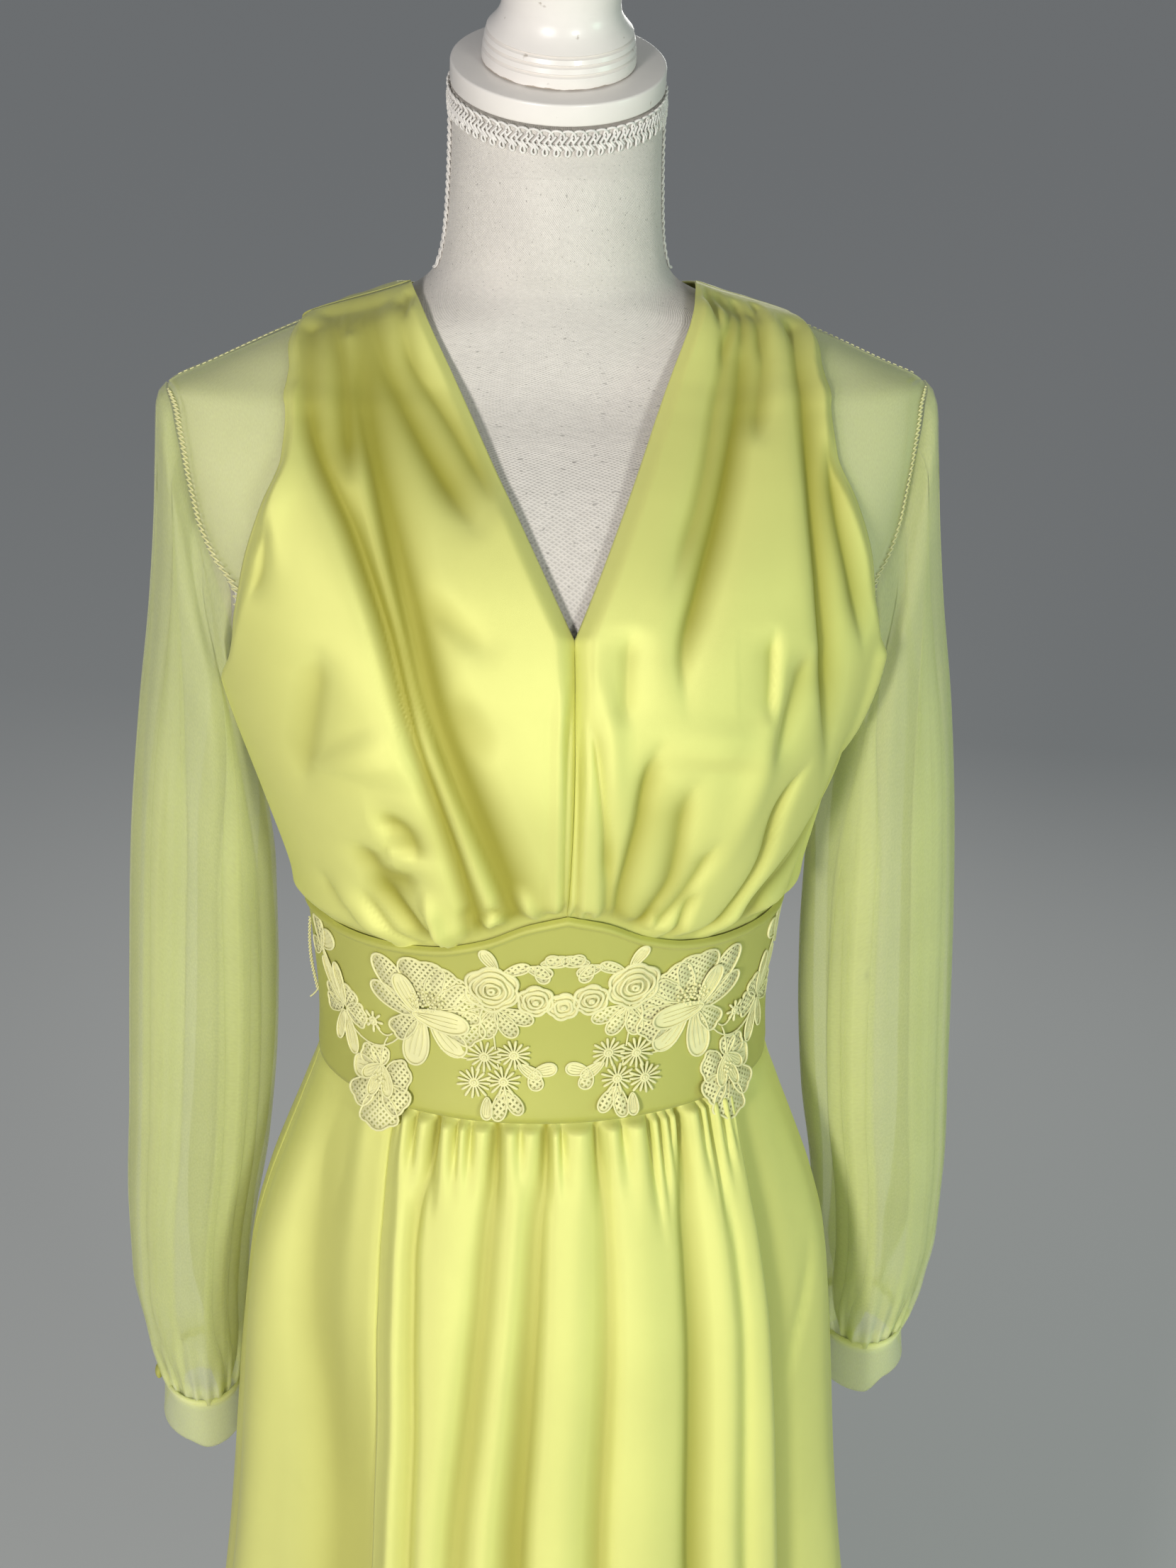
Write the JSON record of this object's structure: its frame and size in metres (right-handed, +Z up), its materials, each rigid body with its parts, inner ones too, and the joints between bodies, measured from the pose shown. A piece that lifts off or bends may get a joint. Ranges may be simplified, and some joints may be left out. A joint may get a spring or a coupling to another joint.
{
  "type": "long-sleeved maxi dress on a limbless dress form",
  "caption": "Satin maxi dress with sheer bishop sleeves, gathered V-neck bodice, lace midriff band and gathered A-line skirt, worn on a limbless dress form with a round base.",
  "frame": {"origin": "centre of the underside of the round base, on the pole's axis", "axes": "+Z up along the pole, -Y out of the front of the dress, +X to the viewer's right"},
  "size_m": [0.556, 0.5461, 1.6177],
  "materials": {
    "yellow_satin": "satin-faced cloth with a soft sheen",
    "yellow_chiffon": "sheer matte chiffon",
    "guipure_lace": "thick corded lace",
    "form_linen": "off-white linen cover",
    "gimp_braid": "white braid",
    "white_painted_wood": "worn white paint"
  },
  "bodies": {
    "root": {"bodice_front_left": "yellow_satin", "bodice_front_right": "yellow_satin", "bodice_back_left": "yellow_satin", "bodice_back_right": "yellow_satin", "yoke_front_left": "yellow_chiffon", "yoke_front_right": "yellow_chiffon", "yoke_back_left": "yellow_chiffon", "yoke_back_right": "yellow_chiffon", "sleeve_left": "yellow_chiffon", "sleeve_right": "yellow_chiffon", "cuff_left": "yellow_chiffon", "cuff_right": "yellow_chiffon", "cuff_button_left": "yellow_satin", "cuff_button_right": "yellow_satin", "band_front": "yellow_satin", "band_back_left": "yellow_satin", "band_back_right": "yellow_satin", "lace_applique": "guipure_lace", "skirt_front_centre": "yellow_satin", "skirt_side_front_left": "yellow_satin", "skirt_side_front_right": "yellow_satin", "skirt_back_left": "yellow_satin", "skirt_back_right": "yellow_satin", "form_torso": "form_linen", "neck_braid": "gimp_braid", "neck_side_braid_left": "gimp_braid", "neck_side_braid_right": "gimp_braid", "neck_cap": "white_painted_wood", "finial": "white_painted_wood", "pole": "white_painted_wood", "base": "white_painted_wood"}
  },
  "joints": []
}
